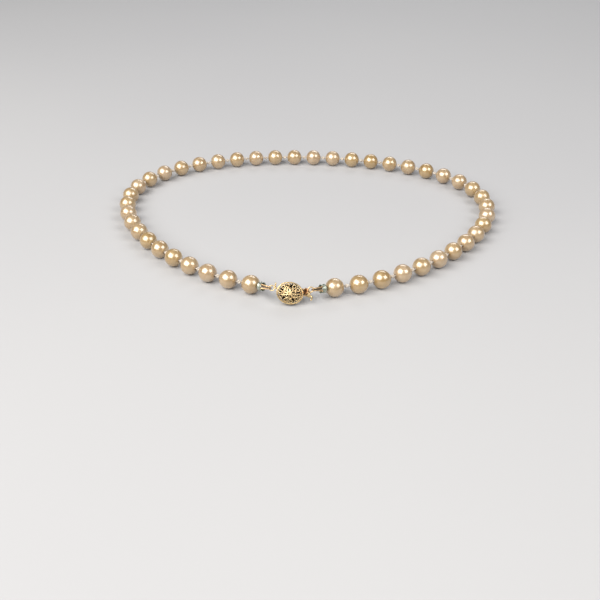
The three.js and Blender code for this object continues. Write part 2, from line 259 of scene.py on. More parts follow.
def metal_material(name, bright, dull, stain, recess, recess_reach, roughness=NEW_PLATE):
    """Old plated metal: bright to dull in patches, stained in spots, darkened in recesses by tarnish and
    painted shade, and darkened with painted shade where the mesh is marked inside.
    """
    material, tree, shader, place = new_material(name)
    patch = stretch(tree, noise_value(tree, place, METAL_PATCHES, 4), 0.35, 0.68)
    spot = stretch(tree, noise_value(tree, place, METAL_SPOTS, 5, 0.6), 0.55, 0.75, 0, 0.8)
    # tarnish and painted shade: ambient occlusion mixes the near-black recess colour into every hollow
    open_air = stretch(tree, crevice(tree, recess_reach), 0.15, 0.75)
    # painted shade: where the mesh is marked inside, the colour goes to near black and the metal loses its
    # gloss
    inside = stretch(tree, mesh_value(tree, "inside"), 0.05, 0.6)
    plated = mix(tree, spot, mix(tree, patch, bright, dull), stain)
    colour = mix(tree, inside, mix(tree, open_air, recess, plated), INSIDE_PAINTED_SHADE)
    tree.links.new(colour, shader.inputs["Base Color"])
    tree.links.new(stretch(tree, patch, 0, 1, *roughness), shader.inputs["Roughness"])
    tree.links.new(stretch(tree, inside, 0, 1, 1.0, 0.15), shader.inputs["Metallic"])
    dent = noise_value(tree, place, METAL_DENTS, 3)
    scratch = noise_value(tree, place, METAL_SCRATCHES, 4, 0.7)
    bump(tree, shader, (dent, 0.35, 0.05 * MM), (scratch, 0.15, 0.01 * MM))
    return material


def floor_material():
    material, tree, shader, place = new_material("pale_floor")
    shade = stretch(tree, noise_value(tree, place, FLOOR_CLOUDS, 2), 0.3, 0.7)
    tree.links.new(mix(tree, shade, *FLOOR_GREY), shader.inputs["Base Color"])
    set_inputs(shader, Roughness=0.75)
    return material


NACRE = nacre_material()
SILK = silk_material()
# Each metal's recess colour is tarnish and painted shade together, laid into its hollows.
GOLD = metal_material(
    "clasp_gold", bright=(0.84, 0.65, 0.36), dull=(0.70, 0.49, 0.24), stain=(0.42, 0.25, 0.10),
    recess=(0.05, 0.03, 0.012), recess_reach=0.7 * MM)
# A darker copy of the clasp gold: the strap's own browner metal, and painted shade on the hook strip, tongue
# and catch bar inside the clasp.
DARK_GOLD = metal_material(
    "dark_gold_and_shade", bright=(0.72, 0.49, 0.26), dull=(0.52, 0.34, 0.17), stain=(0.26, 0.16, 0.08),
    recess=(0.05, 0.03, 0.015), recess_reach=0.6 * MM)
COPPER = metal_material(
    "worn_copper", bright=(0.86, 0.47, 0.23), dull=(0.66, 0.32, 0.14), stain=(0.32, 0.15, 0.07),
    recess=(0.07, 0.03, 0.012), recess_reach=0.5 * MM)
VERDIGRIS = metal_material(
    "tarnished_cup", bright=(0.50, 0.54, 0.47), dull=(0.31, 0.34, 0.26), stain=(0.13, 0.15, 0.10),
    recess=(0.04, 0.045, 0.03), recess_reach=0.6 * MM, roughness=(0.32, 0.58))
# painted highlight: a paler copy of the cup's metal on the lip of the cup
PALE_RIM_HIGHLIGHT = metal_material(
    "pale_rim_highlight", bright=(0.60, 0.64, 0.58), dull=(0.38, 0.42, 0.36), stain=(0.22, 0.24, 0.18),
    recess=(0.10, 0.10, 0.08), recess_reach=0.4 * MM, roughness=(0.26, 0.46))


# ---------------------------------------------------------------- mesh helpers

SAME_POINT = 0.0001 * MM
TIP_BULGE = 0.55


def add_piece(name, parts, body, nodes=()):
    """One mesh from parts, each (vertices, faces, material, {point value: numbers}), riding on body."""
    materials = []
    for part in parts:
        if part[2] not in materials:
            materials.append(part[2])
    vertices, faces, slots, values = [], [], [], {}
    for part_vertices, part_faces, material, part_values in parts:
        base = len(vertices)
        vertices += part_vertices
        faces += [[base + corner for corner in face] for face in part_faces]
        slots += [materials.index(material)] * len(part_faces)
        for key, numbers in part_values.items():
            values.setdefault(key, {}).update({base + i: number for i, number in enumerate(numbers)})
    mesh = bpy.data.meshes.new(name)
    mesh.from_pydata(vertices, [], faces)
    for material in materials:
        mesh.materials.append(material)
    mesh.polygons.foreach_set("material_index", slots)
    mesh.polygons.foreach_set("use_smooth", [True] * len(faces))
    for key, numbers in values.items():
        attribute = mesh.attributes.new(key, "FLOAT", "POINT")
        for i, number in numbers.items():
            attribute.data[i].value = number
    solid = bmesh.new()
    solid.from_mesh(mesh)
    bmesh.ops.remove_doubles(solid, verts=solid.verts, dist=SAME_POINT)
    bmesh.ops.recalc_face_normals(solid, faces=solid.faces)
    solid.to_mesh(mesh)
    solid.free()
    piece = bpy.data.objects.new(name, mesh)
    bpy.context.scene.collection.objects.link(piece)
    if nodes:
        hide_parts(*nodes)
    if body:
        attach(piece, body)
    return piece


def grid_faces(rows, columns, closed_rows=False, closed_columns=True):
    """Quads over a grid of points stored row by row."""
    faces = []
    for row in range(rows if closed_rows else rows - 1):
        below = (row + 1) % rows
        for column in range(columns if closed_columns else columns - 1):
            beside = (column + 1) % columns
            faces.append([
                row * columns + column, below * columns + column,
                below * columns + beside, row * columns + beside])
    return faces


def wire(points, radius, material, sides=8, closed=False, facing=None, flatten=1.0, groove=None):
    """A wire along points. radius is a number or one number per point. facing(point) gives the direction
    that flatten thins it in, and its other side is marked inside, for painted shade. groove = (strands,
    turns, depth) twists it like a rope, and each point's depth in the groove is kept for the silk's painted
    shade."""
    count = len(points)
    radii = [radius] * count if isinstance(radius, float) else radius
    vertices, folds, insides = [], [], []
    side = None
    for i, point in enumerate(points):
        before = points[(i - 1) % count] if closed or i > 0 else point
        after = points[(i + 1) % count] if closed or i < count - 1 else point
        along = (after - before).normalized()
        if facing:
            side = along.cross(facing(point)).normalized()
        elif side is None:
            side = along.orthogonal().normalized()
        side = (side - along * side.dot(along)).normalized()
        out = side.cross(along)
        for k in range(sides):
            angle = tau * k / sides
            groove_shade = 0.0
            reach = radii[i]
            if groove:
                strands, turns, depth = groove
                groove_shade = 0.5 - 0.5 * cos(strands * (angle - tau * turns * i / count))
                reach *= 1 - depth * groove_shade
            vertices.append(tuple(point + side * (reach * cos(angle)) + out * (reach * flatten * sin(angle))))
            folds.append(groove_shade)
            # painted shade: the side facing into the clasp is marked to be darkened
            insides.append(max(0.0, -sin(angle)) if facing else 0.0)
    faces = grid_faces(count, sides, closed_rows=closed)
    if not closed:
        for i, inner in ((0, points[1]), (count - 1, points[-2])):
            tip = len(vertices)
            vertices.append(tuple(points[i] + (points[i] - inner).normalized() * radii[i] * TIP_BULGE))
            folds.append(0.0)
            insides.append(0.0)
            faces += [[i * sides + k, i * sides + (k + 1) % sides, tip] for k in range(sides)]
    return vertices, faces, material, {"groove_shade": folds, "inside": insides}


def ball(centre, radius, material, squash=None, rows=6, columns=10):
    """A round bead; squash is (direction, amount) to flatten it."""
    vertices = []
    for row in range(rows + 1):
        polar = pi * row / rows
        for column in range(columns):
            turn = tau * column / columns
            point = Vector((sin(polar) * cos(turn), sin(polar) * sin(turn), cos(polar))) * radius
            if squash:
                direction, amount = squash
                point -= direction * point.dot(direction) * (1 - amount)
            vertices.append(tuple(centre + point))
    return vertices, grid_faces(rows + 1, columns), material, {}


def sheet(upper, lower, across, material, inside=None):
    """A closed strip between two sheets of points, across points to a row. inside has a number for each
    column: how much painted shade it gets."""
    rows = len(upper) // across
    points, numbers = [], []
    for row in range(rows):
        points += upper[row * across:(row + 1) * across]
        points += reversed(lower[row * across:(row + 1) * across])
        if inside:
            numbers += inside + inside[::-1]
    loop = 2 * across
    faces = grid_faces(rows, loop)
    faces.append(list(range(loop)))
    faces.append([(rows - 1) * loop + k for k in range(loop)])
    return [tuple(point) for point in points], faces, material, {"inside": numbers} if inside else {}


def lathe(profile, place, sides):
    """profile is (radius, distance along the local Y axis), turned about that axis."""
    vertices = []
    for radius, ahead in profile:
        for k in range(sides):
            turn = tau * k / sides
            vertices.append(tuple(place @ Vector((radius * cos(turn), ahead, radius * sin(turn)))))
    return vertices, grid_faces(len(profile), sides)


def bend(points, steps):
    """A smooth line through the corner points, rounded by averaging."""
    line = []
    for first, second in zip(points, points[1:]):
        line += [first.lerp(second, i / steps) for i in range(steps)]
    line.append(points[-1])
    for _ in range(steps):
        line = [line[0]] + [(a + b * 2 + c) / 4 for a, b, c in zip(line, line[1:], line[2:])] + [line[-1]]
    return line


def basis(across, along, up, origin):
    """The matrix whose columns are the three directions and the origin."""
    columns = [(*across, 0), (*along, 0), (*up, 0), (*origin, 1)]
    return Matrix(columns).transposed()


# ---------------------------------------------------------------- where things are

PEARL_COUNT = sum(name.startswith("pearl_") for name in frame["nodes"])
PEARL_NAMES = [f"pearl_{number:02d}" for number in range(1, PEARL_COUNT + 1)]
JOINTS = {joint["name"]: joint for joint in frame["joints"]}


def middle_of(node):
    low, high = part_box(node)
    return (Vector(low) + Vector(high)) / 2


def height_of(node):
    low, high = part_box(node)
    return high[2] - low[2]


CENTRES = [middle_of(name) for name in PEARL_NAMES]
PEARL_RADIUS = height_of(PEARL_NAMES[0]) / 2
LEFT_HOLD = Vector(JOINTS["clasp_turn"]["pos_m"])
RIGHT_HOLD = Vector(JOINTS["hook_turn"]["pos_m"])
CLASP_LEAN = radians(60)
CLASP = Matrix.Translation(middle_of("clasp_rim")) @ Matrix.Rotation(CLASP_LEAN, 4, "X")
CLASP_FACE = (CLASP.to_3x3() @ Vector((0, 0, 1))).normalized()


def drill_direction(index):
    """The way the hole runs through a pearl: level, and midway between the directions to its neighbours."""
    before = CENTRES[index - 1] if index > 0 else LEFT_HOLD
    after = CENTRES[index + 1] if index < PEARL_COUNT - 1 else RIGHT_HOLD
    direction = (after - CENTRES[index]).normalized() + (CENTRES[index] - before).normalized()
    direction.z = 0
    return direction.normalized()


# ---------------------------------------------------------------- pearls

HOLE_RADIUS = 0.42 * MM
PEARL_ROWS = 26
PEARL_COLUMNS = 44
UNEVENNESS = 0.006
LUMP_PITCH = 0.55
LUMP_MIDDLE = 0.6
LUMPS_FROM = 1.3 * HOLE_RADIUS
WORN_ANGLE = radians(7)
LIP_WIDTH = 1.25
LIP_WEAR = 0.6
# The wall of the hole, from inside outward, then its rounded mouth, each (share of the hole's radius, share
# of the way out, wear).
HOLE_WALL = ((1.0, 0.6, 1.0), (1.0, 0.965, 1.0))
HOLE_MOUTH = (1.06, 0.992, 0.9)


def pearl_profile():
    """(radius from the drill axis, place along it, wear) round a pearl and back through its hole."""
    mouth = asin(HOLE_RADIUS / PEARL_RADIUS)
    lip = mouth * LIP_WIDTH
    rows = [(HOLE_RADIUS * wide, PEARL_RADIUS * out, wear) for wide, out, wear in HOLE_WALL]
    wide, out, wear = HOLE_MOUTH
    rows.append((HOLE_RADIUS * wide, PEARL_RADIUS * cos(mouth) * out, wear))
    hole = rows[::-1]
    for step in range(PEARL_ROWS + 1):
        polar = lip + (pi - 2 * lip) * step / PEARL_ROWS
        from_hole = min(polar, pi - polar) - lip
        wear = max(0.0, 1 - from_hole / WORN_ANGLE) ** 2 * LIP_WEAR
        rows.append((PEARL_RADIUS * sin(polar), PEARL_RADIUS * cos(polar), wear))
    rows += [(radius, -place, wear) for radius, place, wear in hole]
    return rows


def add_pearl(index, profile):
    rng = Random(f"pearl {index}")
    along = drill_direction(index)
    up = Vector((0, 0, 1))
    across = along.cross(up)
    offset = Vector((rng.uniform(0, 50), rng.uniform(0, 50), rng.uniform(0, 50)))
    vertices, wear = [], []
    for radius, place, worn in profile:
        for column in range(PEARL_COLUMNS):
            turn = tau * column / PEARL_COLUMNS
            point = across * (radius * cos(turn)) + up * (radius * sin(turn)) + along * place
            if radius > LUMPS_FROM:
                lump = noise.noise(point * (LUMP_PITCH / PEARL_RADIUS) + offset)
                point *= 1 - UNEVENNESS * (LUMP_MIDDLE + lump)
            vertices.append(tuple(CENTRES[index] + point))
            wear.append(worn)
    tone = rng.uniform(0.0, 1.0)
    faces = grid_faces(len(profile), PEARL_COLUMNS, closed_rows=True)
    name = PEARL_NAMES[index]
    part = (vertices, faces, NACRE, {"wear": wear, "tone": [tone] * len(vertices)})
    add_piece(f"nacre_{name}", [part], name, [name])


# ---------------------------------------------------------------- silk thread and knots

SILK_RADIUS = 0.25 * MM
THREAD_RADIUS = 0.30 * MM
THREAD_OUT = 1.04
THREAD_TWISTS = 12
PLIES = 2
THREAD_GROOVE = 0.18
KNOT_REACH = 0.37 * MM
KNOT_LOBES = 0.42
KNOT_LENGTH = 0.48 * MM
KNOT_LEAN = 0.16
KNOT_STEPS = 60
KNOT_TWISTS = 9
KNOT_GROOVE = 0.22
END_KNOT_SIZE = 1.2
END_KNOT_DEPTH = 1.15 * MM
END_THREAD = 0.8 * MM
END_TWISTS = 4
# How far from an end pearl's middle the bead tip's cup starts.
CUP_START = 3.75 * MM


def knot_lump(centre, along, rng, size=1.0):
    """A tight overhand knot: a three-lobed closed strand, size times as big as the ones between pearls."""
    side = along.cross(Vector((0, 0, 1))).normalized()
    up = side.cross(along)
    spin = rng.uniform(0, tau)
    lean = rng.uniform(-KNOT_LEAN, KNOT_LEAN)
    strand = []
    for i in range(KNOT_STEPS):
        t = tau * i / KNOT_STEPS
        reach = size * KNOT_REACH * (1 + KNOT_LOBES * cos(3 * t))
        turn = 2 * t + spin
        place = size * KNOT_LENGTH * sin(3 * t) + lean * reach * cos(turn)
        strand.append(centre + side * (reach * cos(turn)) + up * (reach * sin(turn)) + along * place)
    return wire(strand, size * SILK_RADIUS, SILK, closed=True, groove=(PLIES, KNOT_TWISTS, KNOT_GROOVE))


def thread_part(points, twists):
    return wire(bend(points, steps=4), THREAD_RADIUS, SILK, groove=(PLIES, twists, THREAD_GROOVE))


def turning_point(index, way):
    """Where the thread bends beside a pearl: the middle of a knot, or the mouth of the bead tip at an end."""
    if 0 <= index + way < PEARL_COUNT:
        return (CENTRES[index] + CENTRES[index + way]) / 2
    side = "left" if way < 0 else "right"
    return Vector(JOINTS[f"bead_tip_{side}_swing"]["pos_m"])


def thread_out(index, way):
    """The thread's points beyond a pearl's middle: the mouth of its hole, unless that is too near the bend,
    and the bend."""
    mouth = CENTRES[index] + drill_direction(index) * (way * PEARL_RADIUS * THREAD_OUT)
    end = turning_point(index, way)
    return [mouth, end] if (end - mouth).length > THREAD_RADIUS else [end]


def add_silk(index):
    """The thread through one pearl, from the middle of one knot to the middle of the next, and the knot that
    follows."""
    after = thread_out(index, 1)
    thread = thread_out(index, -1)[::-1] + [CENTRES[index]] + after
    parts = [thread_part(thread, THREAD_TWISTS)]
    if index < PEARL_COUNT - 1:
        knot = after[-1]
        parts.append(knot_lump(knot, (knot - CENTRES[index]).normalized(), Random(f"knot {index}")))
    add_piece(f"silk_{index + 1:02d}", parts, PEARL_NAMES[index], ["silk_thread"])


def add_end_knot(side, index, hold, way):
    """The last knot, inside the bead tip's cup, with the thread that leads into it and its cut end."""
    along = (hold - CENTRES[index]).normalized()
    knot = CENTRES[index] + along * (CUP_START + END_KNOT_DEPTH)
    thread = [turning_point(index, way), knot, knot + along * END_THREAD]
    parts = [thread_part(thread, END_TWISTS), knot_lump(knot, along, Random(side), END_KNOT_SIZE)]
    add_piece(f"end_knot_{side}", parts, f"bead_tip_{side}", ["silk_thread"])


# ---------------------------------------------------------------- bead tips

CUP_RADIUS = 1.62 * MM
CUP_SIDES = 36
# The cup from the thread's hole outward: (radius, distance from the cup's start) in millimetres.
CUP_RIM = ((0.46, 0.02), (0.95, 0.0), (1.36, 0.10), (1.58, 0.30), (1.65, 0.52), (1.60, 0.74), (1.46, 0.86))
CUP_WALL = (
    (1.46, 0.86), (1.42, 1.15), (1.45, 1.55), (1.52, 1.90), (1.46, 1.97), (1.36, 1.90),
    (1.26, 1.50), (1.18, 1.0), (0.95, 0.55), (0.46, 0.40), (0.46, 0.02))
RING_RADIUS = 0.85 * MM
STRAP_START = (0, 1.78 * MM, 1.40 * MM)
STRAP_MIDDLE = (0, 2.2 * MM, 1.30 * MM)
STRAP_LOOP = 0.67 * MM
STRAP_LOOP_TURN = pi * 1.12
STRAP_LOOP_STEPS = 16
STRAP_NARROWING_STEPS = 3
STRAP_BEFORE_LOOP = 0.35 * MM
STRAP_START_WIDTH = 1.0 * MM
STRAP_NECK_WIDTH = 0.50 * MM
STRAP_LOOP_WIDTH = 0.20 * MM
STRAP_HOLLOW = 0.30 * MM
STRAP_HOLLOW_START = 0.15
STRAP_HALF_THICK = 0.10 * MM
STRAP_COLUMNS = (-1, -0.8, -0.5, -0.2, 0, 0.2, 0.5, 0.8, 1)
STRAP_EDGE = 0.12 * MM
STRAP_TROUGH_SHADE = 0.60


def strap_shape(length):
    """(point, half width, hollow) along the strap's middle line, from the cup's mouth to the end of its
    loop."""
    loop_start = length - CUP_START
    neck = Vector((0, loop_start - STRAP_BEFORE_LOOP, STRAP_LOOP))
    free = bend([Vector(STRAP_START), Vector(STRAP_MIDDLE), neck], steps=7)
    shape = []
    for i, point in enumerate(free):
        share = i / (len(free) - 1)
        half = STRAP_START_WIDTH + (STRAP_NECK_WIDTH - STRAP_START_WIDTH) * share
        round_cup = half * half / (2 * CUP_RADIUS) * (1 - share) ** 3
        hollow = STRAP_HOLLOW * sin(pi * min(1.0, share + STRAP_HOLLOW_START)) - round_cup
        shape.append((point, half, hollow))
    for step in range(STRAP_LOOP_STEPS + 1):
        angle = STRAP_LOOP_TURN * step / STRAP_LOOP_STEPS
        point = Vector((0, loop_start + STRAP_LOOP * sin(angle), STRAP_LOOP * cos(angle)))
        ease = min(1.0, step / STRAP_NARROWING_STEPS)
        half = STRAP_NECK_WIDTH + (STRAP_LOOP_WIDTH - STRAP_NECK_WIDTH) * ease * ease * (3 - 2 * ease)
        shape.append((point, half, 0.0))
    return shape


def strap_parts(place, length):
    """The tapered trough that leaves the cup's lip and curls round the clasp's ring, with its two rolled
    edges."""
    shape = strap_shape(length)
    upper, lower, edges = [], [], ([], [])
    for i, (point, half, hollow) in enumerate(shape):
        before, after = shape[max(i - 1, 0)][0], shape[min(i + 1, len(shape) - 1)][0]
        out = Vector((1, 0, 0)).cross((after - before).normalized())
        for q in STRAP_COLUMNS:
            centre = point + Vector((half * q, 0, 0)) + out * (hollow * q * q)
            upper.append(place @ (centre + out * STRAP_HALF_THICK))
            lower.append(place @ (centre - out * STRAP_HALF_THICK))
        for edge, q in zip(edges, (-1, 1)):
            edge.append(place @ (point + Vector((half * q, 0, 0)) + out * hollow))
    # painted shade: the middle of the trough goes toward near black, and its rolled edges stay bright
    trough_shade = [STRAP_TROUGH_SHADE * (1 - q * q) for q in STRAP_COLUMNS]
    parts = [sheet(upper, lower, len(STRAP_COLUMNS), DARK_GOLD, trough_shade)]
    return parts + [wire(edge, STRAP_EDGE, DARK_GOLD) for edge in edges]


def add_bead_tip(side, index, hold):
    pearl = CENTRES[index]
    along = (hold - pearl).normalized()
    face = (CLASP_FACE - along * CLASP_FACE.dot(along)).normalized()
    place = basis(along.cross(face), along, face, pearl + along * CUP_START)
    parts = []
    for profile, material in ((CUP_RIM, PALE_RIM_HIGHLIGHT), (CUP_WALL, VERDIGRIS)):
        turned = [(radius * MM, ahead * MM) for radius, ahead in profile]
        parts.append((*lathe(turned, place, CUP_SIDES), material, {}))
    parts += strap_parts(place, (hold - pearl).length)
    add_piece(f"bead_tip_{side}_cup_and_strap", parts, f"bead_tip_{side}", [f"bead_tip_{side}"])


# ---------------------------------------------------------------- clasp: pierced domes

HALF_LENGTH = 4.65 * MM
HALF_HEIGHT = 3.85 * MM
HALF_THICKNESS = 2.65 * MM
CLASP_TILT = radians(-10)
TILTED = CLASP @ Matrix.Rotation(CLASP_TILT, 4, "Z")
ROUND_STEPS = 72

LATTICE_WIRE = 0.19 * MM
LATTICE_FLATTEN = 0.75
TOP_BEAD = 0.34 * MM
TOP_BEAD_SQUASH = 0.7

PETALS = 8
PETAL_WIRE = 0.175 * MM
PETAL_STEPS = 24
PETAL_MIDDLE = 0.295
PETAL_HALF_LENGTH = 0.190
PETAL_HALF_ANGLE = 0.36
PETAL_TAPER = 0.20
PETAL_BEAD = 0.22 * MM
PETAL_BEAD_REACH = 0.475

SCROLLS = 10
SCROLL_STEPS = 30
SCROLL_MIDDLE = 0.705
SCROLL_SIZE = 0.200
SCROLL_SHRINK = 0.62
SCROLL_SWEEP_REACH = 0.72
SCROLL_START = 1.15 * pi
SCROLL_TURN = 2.25 * pi
SCROLL_WIRE = (1.05, 0.80)
SCROLL_BEAD = 0.20 * MM
SCROLL_BEAD_REACH = 0.83
EDGE_REACH = 0.945


def on_dome(reach, turn, side=1, inset=0.0):
    """A point on the domed face: reach 0 at its top and 1 at its edge, turn round the face."""
    lift = sqrt(max(0.0, 1 - reach * reach))
    return TILTED @ Vector((
        (HALF_LENGTH - inset) * reach * cos(turn), (HALF_HEIGHT - inset) * reach * sin(turn),
        side * (HALF_THICKNESS - inset) * lift))


def dome_normal(point):
    """The way out of the dome at a point on it."""
    local = TILTED.inverted() @ point
    out = Vector((local.x / HALF_LENGTH ** 2, local.y / HALF_HEIGHT ** 2, local.z / HALF_THICKNESS ** 2))
    return (TILTED.to_3x3() @ out).normalized()


def lattice_wire(points, radius=LATTICE_WIRE, closed=False):
    return wire(points, radius, GOLD, closed=closed, facing=dome_normal, flatten=LATTICE_FLATTEN)


def petal(turn, side):
    """A closed teardrop that points at the middle of the face."""
    points = []
    for i in range(PETAL_STEPS):
        t = tau * i / PETAL_STEPS
        reach = PETAL_MIDDLE - PETAL_HALF_LENGTH * cos(t)
        half = PETAL_HALF_ANGLE * sin(t) * (1 - PETAL_TAPER + PETAL_TAPER * cos(t))
        points.append(on_dome(reach, turn + half, side, LATTICE_WIRE))
    return lattice_wire(points, PETAL_WIRE, closed=True)


def scroll(turn, side, hand):
    """A curl that starts beside the petals, runs out toward the edge and winds in on itself."""
    points, radii = [], []
    thick, thin = SCROLL_WIRE
    for i in range(SCROLL_STEPS):
        share = i / (SCROLL_STEPS - 1)
        angle = SCROLL_START - SCROLL_TURN * share
        size = SCROLL_SIZE * (1 - SCROLL_SHRINK * share)
        reach = SCROLL_MIDDLE + size * cos(angle)
        sweep = hand * size * sin(angle) / SCROLL_SWEEP_REACH
        points.append(on_dome(reach, turn + sweep, side, LATTICE_WIRE))
        radii.append(LATTICE_WIRE * (thick - (thick - thin) * share))
    return lattice_wire(points, radii)


def face_parts(side):
    """One pierced dome: a daisy with beads between its petals, scrolls with beads between them, and a wire
    edge."""
    top = on_dome(0, 0, side, LATTICE_WIRE)
    parts = [ball(top, TOP_BEAD, GOLD, (dome_normal(top), TOP_BEAD_SQUASH), rows=8, columns=14)]
    for i in range(PETALS):
        turn = tau * (i + 0.5) / PETALS
        parts.append(petal(turn, side))
        between = on_dome(PETAL_BEAD_REACH, turn + pi / PETALS, side, LATTICE_WIRE)
        parts.append(ball(between, PETAL_BEAD, GOLD))
    edge = [on_dome(EDGE_REACH, tau * i / ROUND_STEPS, side, LATTICE_WIRE) for i in range(ROUND_STEPS)]
    parts.append(lattice_wire(edge, LATTICE_WIRE, closed=True))
    for i in range(SCROLLS):
        parts.append(scroll(tau * i / SCROLLS, side, 1 if i % 2 else -1))
        between = on_dome(SCROLL_BEAD_REACH, tau * (i + 0.5) / SCROLLS, side, LATTICE_WIRE)
        parts.append(ball(between, SCROLL_BEAD, GOLD))
    return parts


# ---------------------------------------------------------------- clasp: rim, painted-shade lining and mouth

MOUTH_HALF_ANGLE = radians(27)
MOUTH_MIDDLE = radians(16)
MOUTH_POST = 0.2 * MM

BAND_HEIGHT = 0.80 * MM
BAND_WIRE = 0.19 * MM
RIM_FLATTEN = 0.8
WAVES = 15
WAVE_STEPS = 210
WAVE_HEIGHT = 0.62 * MM
WAVE_WIRE = 0.15 * MM
WAVE_INSET = 0.22 * MM
RIM_BEADS = 48
RIM_BEAD = 0.15 * MM
RIM_BEAD_INSET = 0.28 * MM

LINING_STEPS = 48
BOWL_ROWS = 14
BOWL_REACH = 0.93
BOWL_OUTSIDE = 0.50 * MM
BOWL_INSIDE = 0.60 * MM
LINING_HEIGHTS = (-0.85 * MM, -0.4 * MM, 0.0, 0.4 * MM, 0.85 * MM)
LINING_OUTSIDE = 0.46 * MM
LINING_INSIDE = 0.56 * MM


def on_rim(turn, height, inset=0.0):
    """A point on the upright rim between the domes."""
    return TILTED @ Vector(((HALF_LENGTH - inset) * cos(turn), (HALF_HEIGHT - inset) * sin(turn), height))


def rim_normal(point):
    """The way out of the rim at a point on it."""
    local = TILTED.inverted() @ point
    out = Vector((local.x / HALF_LENGTH ** 2, local.y / HALF_HEIGHT ** 2, 0))
    return (TILTED.to_3x3() @ out).normalized()


def past_mouth(share):
    """The turn at a share of the way round the rim, from one side of the mouth to the other."""
    return MOUTH_MIDDLE + MOUTH_HALF_ANGLE + (tau - 2 * MOUTH_HALF_ANGLE) * share


def in_mouth(turn):
    away = (turn - MOUTH_MIDDLE + pi) % tau - pi
    return abs(away) < MOUTH_HALF_ANGLE


def shade_lining_parts():
    """The dark sheet behind the piercings, painted shade for the inside of the clasp: a bowl inside the back
    dome, and a band inside the rim.
    """
    bowl = []
    for inset, order in ((BOWL_OUTSIDE, range(BOWL_ROWS)), (BOWL_INSIDE, reversed(range(BOWL_ROWS)))):
        for row in order:
            reach = BOWL_REACH * row / (BOWL_ROWS - 1)
            bowl += [tuple(on_dome(reach, tau * i / LINING_STEPS, -1, inset)) for i in range(LINING_STEPS)]
    bowl_faces = grid_faces(2 * BOWL_ROWS, LINING_STEPS)
    outer, inner = [], []
    for i in range(LINING_STEPS + 1):
        turn = past_mouth(i / LINING_STEPS)
        outer += [on_rim(turn, height, LINING_OUTSIDE) for height in LINING_HEIGHTS]
        inner += [on_rim(turn, height, LINING_INSIDE) for height in LINING_HEIGHTS]
    across = len(LINING_HEIGHTS)
    band = sheet(outer, inner, across, GOLD, [1.0] * across)
    return [(bowl, bowl_faces, GOLD, {"inside": [1.0] * len(bowl)}), band]


def gallery_parts():
    """The rim between the domes: two bands, with a wavy wire and small beads between them, open at the
    mouth."""
    parts = []
    for height in (BAND_HEIGHT, -BAND_HEIGHT):
        band = [on_rim(tau * i / ROUND_STEPS, height, BAND_WIRE) for i in range(ROUND_STEPS)]
        parts.append(wire(band, BAND_WIRE, GOLD, closed=True, facing=rim_normal, flatten=RIM_FLATTEN))
    run = []
    for i in range(WAVE_STEPS + 1):
        share = i / WAVE_STEPS
        run.append(on_rim(past_mouth(share), WAVE_HEIGHT * cos(tau * WAVES * share), WAVE_INSET))
    parts.append(wire(run, WAVE_WIRE, GOLD, sides=6, facing=rim_normal, flatten=RIM_FLATTEN))
    for i in range(RIM_BEADS):
        turn = tau * i / RIM_BEADS
        if not in_mouth(turn):
            parts.append(ball(on_rim(turn, 0, RIM_BEAD_INSET), RIM_BEAD, DARK_GOLD, rows=5, columns=8))
    for edge in (-1, 1):
        turn = MOUTH_MIDDLE + edge * MOUTH_HALF_ANGLE
        post = [on_rim(turn, BAND_HEIGHT * share, WAVE_INSET) for share in (-1, -0.5, 0, 0.5, 1)]
        parts.append(wire(post, MOUTH_POST, GOLD))
    return parts


# ---------------------------------------------------------------- clasp: rings, hook and tongue

# Lists of points are in millimetres in the clasp's own axes, with X toward the mouth and Z out of its face.
RING_WIRE = 0.20 * MM
RING_STEPS = 40
POST_WIRE = 0.24 * MM
POST_STEPS = 4
BOX_POST_END = -4.5 * MM
HOOK_POST_END = 5.9 * MM
STUB_WIRE = 0.26 * MM
STUB = ((-5.0, 1.4, -0.77), (-5.15, 2.4, -0.77), (-5.0, 3.3, -0.72))

BOX_END = 3.9 * MM
STRIP = (
    (-2.4, -0.7), (3.8, -0.7), (4.2, -0.7), (4.8, -0.7), (5.0, -1.0), (5.9, -0.9), (6.0, 1.8), (5.2, 2.0),
    (4.8, 1.7), (4.2, 1.7), (3.8, 1.7), (-2.4, 1.7))
STRIP_BOTTOM = -0.65 * MM
STRIP_TOP = -0.40 * MM
STRIP_SOFTEN = 0.06 * MM
TAIL = (
    (5.5, -0.4, -0.50), (6.3, -0.55, -0.38), (7.15, -0.75, -0.30), (7.5, -1.5, -0.32), (7.15, -2.2, -0.36))
TAIL_ROOT = 0.28 * MM
TAIL_SWELL = 0.60 * MM
TAIL_WIRE = 0.40 * MM
TAIL_TAPER = 0.10 * MM
COIL_START = (5.72, 0.20, -0.50)
COIL_END = (6.72, -0.55, -0.50)
COIL_SLANT = 0.10
COIL_HALF_HEIGHT = 0.80
COIL_HALF_DEPTH = 0.30
COIL_DEEPENING = 0.22
COIL_TURNS = 3
COIL_STEPS = 84
COIL_WIRE = 0.21 * MM

TONGUE = ((-2.6, 0, -0.22), (3.0, 0, 0.10), (3.25, 0, 0.40), (3.5, 0, 0.18), (5.2, 0, 0.12))
TONGUE_COLUMNS = (-1, -0.6, 0, 0.6, 1)
TONGUE_MIDDLE = 0.5 * MM
TONGUE_HALF = 0.95 * MM
TONGUE_CROWN = 0.03 * MM
TONGUE_HALF_THICK = (0, 0, 0.11 * MM)
TAB = ((5.0, 0, 0.1), (5.35, 0, 0.45), (5.7, 0, 1.2), (6.0, 0, 1.62))
TAB_HALF_THICK = (-0.12 * MM, 0, 0.10 * MM)
TAB_HALF = 0.72 * MM
TAB_SWELL = 0.22 * MM
TAB_ROUND_FROM = 0.82
TAB_ROUNDING = 9
TAB_DRIFT = 0.7 * MM
TAB_CUP = 0.10 * MM
TAB_LIP_HALF = 0.55 * MM
TAB_LIP_WIRE = 0.26 * MM


def scaled(points):
    return [Vector(point) * MM for point in points]


